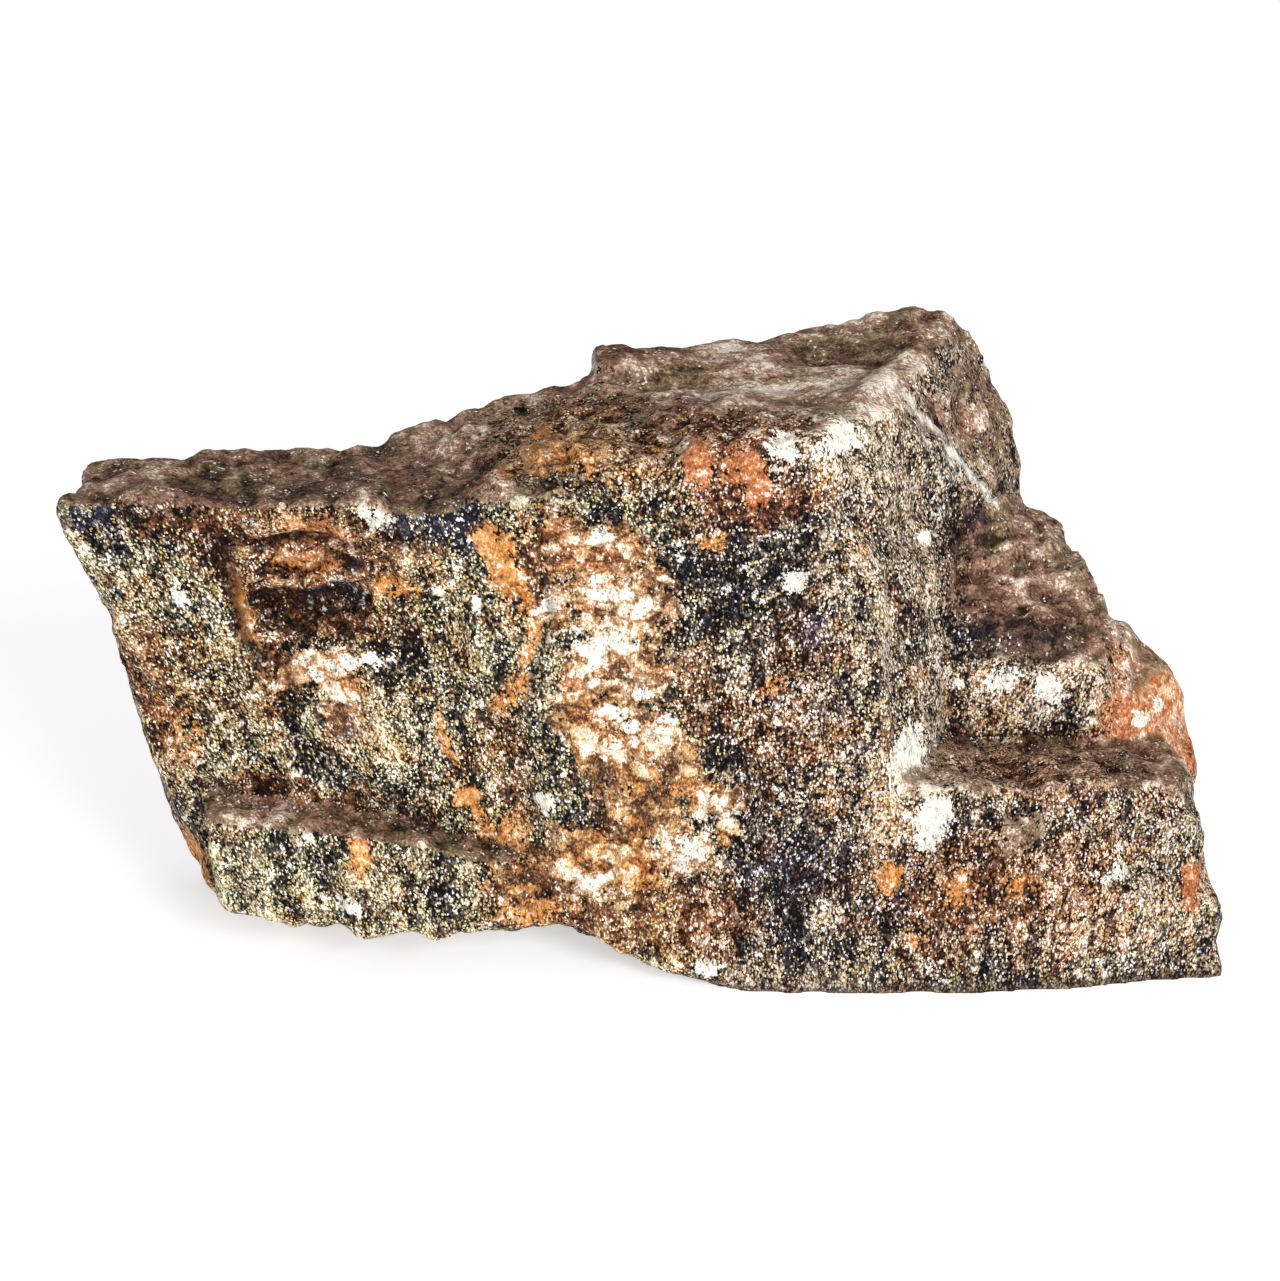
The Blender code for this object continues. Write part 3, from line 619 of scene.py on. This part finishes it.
# The ground mass: black, olive-grey and cream grains, stained brown in places.
pale = share_of("pale")
dark = share_of("dark")
# Wide hollows darker and wide ridges lighter: painted shading, in every tone below.
painted_relief_shading = plus((share_of("painted_relief_shading"), 1.0), start=-0.5)
film = showing("film", 1.3, 0.4, 0.75)
light = plus(
    (pick, 0.7), (big_pick, 0.22), (mottle, 0.7), (patches, 0.7), (bands, 0.9), (broad, 0.5),
    (middle, -0.45), (pale, 0.15), (dark, -0.13), (film, -0.14), (painted_relief_shading, -0.35), start=-1.31,
)
grey_run = run(
    light, (0.1, 16, 16, 18), (0.26, 46, 47, 49), (0.37, 76, 76, 71), (0.46, 109, 104, 88),
    (0.56, 143, 135, 104), (0.68, 192, 180, 138), (0.8, 233, 222, 182), (0.92, 252, 247, 230),
)
stained_run = run(
    light, (0.1, 32, 17, 10), (0.26, 70, 45, 29), (0.37, 104, 71, 47), (0.46, 134, 96, 65),
    (0.56, 166, 124, 86), (0.68, 204, 163, 118), (0.8, 238, 205, 158), (0.92, 253, 240, 212),
)
stained = plus(
    (stain, 1.5), (big_hue, 0.3), (hue, 0.15), (share_of("brown"), 0.2), (share_of("ochre"), 0.2),
    start=-0.65,
)
base = over(grey_run, stained_run, step(stained, 0.3, 0.62))

# Each grain has a tint of its own, and the ground is cooler where it is less stained.
tint_run = run(
    hue, (0.0, 214, 226, 255), (0.3, 247, 251, 255), (0.6, 255, 252, 226), (0.84, 255, 229, 158),
    (1.0, 255, 202, 122),
)
base = over(base, tint_run, 0.6, "MULTIPLY")
base = over(base, tone(224, 222, 248), step(stain, 0.46, 0.36), "MULTIPLY")

# A dull reddish-brown crust, a thin blue-black film, and ochre soaked in grain by grain.
crust = showing("brown", 1.3, 0.42, 0.74)
# The crust is darker in wide hollows and lighter on wide ridges: painted shading.
crust_light = plus(
    (pick, 0.4), (big_shade, 0.24), (mottle, 1.6), (patches, 0.9), (broad, 0.3), (middle, -0.35),
    (film, -0.1), (dark, -0.12), (painted_relief_shading, -0.35), start=-1.12,
)
crust_run = run(
    crust_light, (0.04, 22, 10, 6), (0.2, 56, 31, 19), (0.35, 94, 57, 37), (0.5, 132, 86, 57),
    (0.65, 172, 121, 82), (0.8, 222, 178, 132), (0.93, 255, 236, 202),
)
base = over(base, crust_run, times(crust, 0.85))
blue_run = run(
    light, (0.05, 14, 13, 24), (0.25, 32, 32, 54), (0.42, 60, 60, 86), (0.6, 112, 110, 128),
    (0.85, 232, 226, 224),
)
base = over(base, blue_run, times(film, 0.85))
ochre = step(plus((share_of("ochre"), 1.0), (soaked, 1.4), (hue, 0.3), start=-0.15), 0.5, 0.85)
ochre_run = run(
    light, (0.06, 50, 28, 12), (0.25, 106, 68, 36), (0.45, 156, 108, 62), (0.62, 196, 148, 92),
    (0.8, 236, 206, 156), (0.94, 252, 240, 212),
)
base = over(base, ochre_run, times(ochre, 0.65))

# Bright flecks lie through it, thicker in the pale bands: pale feldspar grains, and mica flakes painted
# white as painted glints.
fleck_and_glint_chance = plus(
    (shade, 1.0), (bands, 1.1), (patches, 1.0), (broad, 0.4), (pale, 0.2), (dark, -0.1),
    (crust, -0.12), (film, -0.12), (painted_relief_shading, -0.15), start=-1.25,
)
fleck_and_glint = times(step(fleck_and_glint_chance, 0.65, 0.73), grain_core)
fleck_and_glint_run = run(
    pick, (0.0, 182, 159, 92), (0.3, 226, 208, 144), (0.6, 250, 242, 214), (1.0, 255, 254, 252),
)
base = over(base, fleck_and_glint_run, times(fleck_and_glint, 0.95))

# The right half is a trace more pink.
base = over(base, tone(252, 243, 255), step(parts[0], 0.0, 8.0), "MULTIPLY")

# Rust stands in soft patches and seams, gold or red.
rust = showing("rust", 1.8, 0.38, 0.74)
rust_light = plus(
    (mottle, 1.5), (pick, 0.34), (big_shade, 0.2), (share_of("rust"), 0.3), start=-0.74,
)
gold_run = run(
    rust_light, (0.05, 98, 54, 20), (0.25, 160, 98, 48), (0.45, 206, 132, 66), (0.65, 230, 162, 92),
    (0.88, 252, 214, 160),
)
red_run = run(
    rust_light, (0.05, 90, 46, 23), (0.25, 152, 86, 50), (0.45, 184, 106, 60), (0.65, 210, 138, 90),
    (0.88, 250, 210, 170),
)
rust_run = over(gold_run, red_run, step(share_of("red"), 0.3, 0.7))
base = over(base, rust_run, times(rust, 0.85))

# Quartz fills the vein: white, cream and pink crystals, with amber and stained joints between them.
CRYSTAL = 1.1
bent = wandering(flow, 1.1, 4.0, 0.6, (1.6, 1.6, 1.2))
crystal_place = stretched(bent, (0.72, 0.85, 1.0))
crystal_pick, crystal_hue = grains(crystal_place, CRYSTAL)[:2]
joint = step(rims(crystal_place, CRYSTAL), 0.0, 0.22)
blobs = cloud(stretched(flow, (0.75, 1, 1.15)), 2.2, 5.0, 0.62)
vein_tint = run(
    plus((stain, 0.9), (crystal_hue, 0.35), (big_hue, 0.2), start=-0.3), (0.3, 255, 252, 244),
    (0.48, 255, 232, 200), (0.64, 255, 206, 146), (0.83, 244, 174, 108),
)
# The vein is darker in wide hollows and lighter on wide ridges: painted shading.
glow = plus(
    (blobs, 1.2), (crystal_pick, 0.5), (pick, 0.26), (big_pick, 0.12), (mottle, 0.9), (grit, 0.3),
    (share_of("quartz"), 0.3), (share_of("amber"), 0.24), (share_of("milk"), 0.34), (joint, 0.25),
    (middle, -0.25), (painted_relief_shading, -0.4), start=-1.56,
)
honey_run = run(
    glow, (0.0, 66, 38, 18), (0.16, 122, 82, 48), (0.32, 172, 128, 84), (0.46, 206, 164, 116),
    (0.62, 236, 206, 164), (0.8, 255, 248, 228),
)
white_run = run(
    glow, (0.06, 92, 58, 34), (0.22, 156, 114, 78), (0.38, 196, 154, 116), (0.5, 226, 190, 152),
    (0.58, 245, 226, 194), (0.68, 255, 252, 242),
)
unclean = step(glow, 0.68, 0.5)
honey_share = showing("amber", 1.3, 0.4, 0.66)
white_share = showing("quartz", 1.3, 0.4, 0.66)
base = over(base, over(honey_run, vein_tint, 1.0, "MULTIPLY"), times(honey_share, 0.88))
base = over(base, over(white_run, vein_tint, times(unclean, 0.8), "MULTIPLY"), times(white_share, 0.92))
speck = times(step(plus((shade, 1.0), (stain, 0.8)), 0.56, 0.5), grain_core)
speck = times(speck, larger(white_share, honey_share))
base = over(base, tone(74, 46, 26), times(speck, 0.75))

# Chalky spots.
chalk = showing("chalk", 2.2, 0.3, 0.6)
chalk_run = run(
    plus((pick, 0.6), (mottle, 1.0), start=-0.3), (0.05, 150, 136, 108), (0.22, 226, 218, 194),
    (0.42, 250, 245, 226), (0.7, 255, 254, 248),
)
base = over(base, chalk_run, times(chalk, 0.95))

# The dull brown skin of the old upward faces, lumpy or in thin layers, with painted shade darkening the
# tops and the wide hollows, and a few painted glints.
layering = share_of("layered")
lumps = cloud(stretched(spot, (1.0, 0.42, 1.0)), 2.0, 5.0, 0.62)
layers = cloud(stretched(spot, (0.3, 0.5, 1.6)), 1.1, 5.0, 0.62)
lumps = over(lumps, layers, times(layering, 0.85))
skin_light = plus(
    (lumps, 2.0), (mottle, 1.0), (broad, 0.6), (big_pick, 0.16), (pick, 0.26), (pale, 0.3),
    (share_of("film"), -0.25), (dark, -0.25), (painted_relief_shading, -0.45), start=-1.47,
)
dull_run = run(
    skin_light, (0.04, 30, 22, 15), (0.24, 64, 51, 36), (0.45, 102, 84, 60), (0.66, 140, 116, 86),
    (0.86, 178, 156, 128), (1.0, 240, 226, 202),
)
warm_run = run(
    skin_light, (0.04, 38, 20, 16), (0.24, 77, 49, 40), (0.45, 118, 82, 67), (0.66, 153, 117, 99),
    (0.86, 192, 158, 137), (1.0, 244, 230, 212),
)
warmth = plus((stain, 1.3), (big_hue, 0.12), (layering, 0.04), start=-0.2)
skin_run = over(dull_run, warm_run, step(warmth, 0.38, 0.58))
glint = step(plus((hue, 1.0), (patches, 0.8)), 1.38, 1.42)
skin_run = over(skin_run, tone(250, 240, 224), times(glint, 0.9))
base = over(base, skin_run, times(showing("skin", 1.5, 0.38, 0.7), 0.9))

# Worn edges are pale, with a painted highlight along them; crevices and hollows are darkened with
# painted shade, and the foot with a painted contact shadow.
base = over(base, tone(250, 242, 228), times(showing("worn_and_highlit", 0.9, 0.25, 1.0), 0.9))
painted_foot_shadow = step(plus((parts[2], 1.0), (soaked, 1.2)), 1.5, 0.4)
painted_shade = larger(times(share_of("painted_crease_shade"), 0.6), step(share_of("cut"), 0.15, 0.6))
painted_shade = larger(painted_shade, times(painted_foot_shadow, 0.8))
base = over(base, tone(34, 20, 15), times(painted_shade, 0.8))
tree.links.new(base, shader.inputs["Base Color"])

# Most grains are dull; a few mica flakes shine.
shiny = step(plus((big_hue, 1.0), (hue, 0.2)), 0.98, 1.02)
roughness = plus(
    (big_shade, 0.25), (white_share, -0.12), (honey_share, -0.12), (shiny, -0.3), start=0.6,
)
tree.links.new(roughness, shader.inputs["Roughness"])
shine = plus((shiny, 0.5), (white_share, 0.15), (honey_share, 0.15), (film, 0.2), start=0.06)
tree.links.new(shine, shader.inputs["Specular IOR Level"])

# The grains are small bumps, and each coarse one faces its own way.
height = plus((middle, -0.10), (big_middle, -0.10), (mottle, 0.6), (pick, 0.04))
bump = add("ShaderNodeBump", {"Height": height, "Distance": MM, "Strength": 1.0}).outputs["Normal"]
turned = swayed(bump, big_tilt, (0.6, 0.6, 0.6))
turned = add("ShaderNodeVectorMath", {0: turned}, operation="NORMALIZE").outputs[0]
tree.links.new(turned, shader.inputs["Normal"])
stone.data.materials.clear()
stone.data.materials.append(finish)

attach(stone, "root")
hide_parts(STONE)


# ---- The table, the light and the camera ------------------------------------------------------
# A white sheet under the stone, bright soft light all round and one soft lamp in front, low and
# to the right, so that the broken front is brighter than the top.

FLOOR_HALF = 2.0
floor_form = bmesh.new()
bmesh.ops.create_grid(floor_form, x_segments=1, y_segments=1, size=FLOOR_HALF)
floor_mesh = bpy.data.meshes.new("white_sheet")
floor_form.to_mesh(floor_mesh)
floor_form.free()
floor = bpy.data.objects.new("white_sheet", floor_mesh)
bpy.context.scene.collection.objects.link(floor)
paper = bpy.data.materials.new("white_paper")
paper.use_nodes = True
paper_shader = paper.node_tree.nodes["Principled BSDF"]
paper_shader.inputs["Base Color"].default_value = (0.9, 0.885, 0.91, 1)
paper_shader.inputs["Roughness"].default_value = 0.9
paper_shader.inputs["Emission Color"].default_value = (1, 0.985, 1, 1)
paper_shader.inputs["Emission Strength"].default_value = 0.5
floor_mesh.materials.append(paper)

world = bpy.data.worlds.new("soft_room")
world.use_nodes = True
world.node_tree.nodes["Background"].inputs["Color"].default_value = (1, 1, 1, 1)
world.node_tree.nodes["Background"].inputs["Strength"].default_value = 0.5
bpy.context.scene.world = world

LAMP_PLACE = Vector((0.22, -0.62, 0.24))
LAMP_AIM = Vector((0, 0, 0.02))
LAMP_SIZE = 0.22
LAMP_POWER = 4.6
lamp_light = bpy.data.lights.new("front_lamp", "AREA")
lamp_light.shape = "SQUARE"
lamp_light.size = LAMP_SIZE
lamp_light.energy = LAMP_POWER
lamp = bpy.data.objects.new("front_lamp", lamp_light)
lamp.location = LAMP_PLACE
lamp.rotation_euler = (LAMP_AIM - LAMP_PLACE).to_track_quat("-Z", "Y").to_euler()
bpy.context.scene.collection.objects.link(lamp)

CAMERA_PLACE = (-0.00075, -0.38192, 0.14761)
CAMERA_TILT = radians(72)  # 90 degrees would look level
FOCAL_LENGTH = 137.93
SENSOR_WIDTH = 36
lens = bpy.data.cameras.new("camera")
lens.lens = FOCAL_LENGTH
lens.sensor_width = SENSOR_WIDTH
lens.clip_start = 0.01
camera = bpy.data.objects.new("camera", lens)
camera.location = CAMERA_PLACE
camera.rotation_euler = (CAMERA_TILT, 0, 0)
bpy.context.scene.collection.objects.link(camera)
bpy.context.scene.camera = camera
bpy.context.scene.view_settings.view_transform = "Standard"
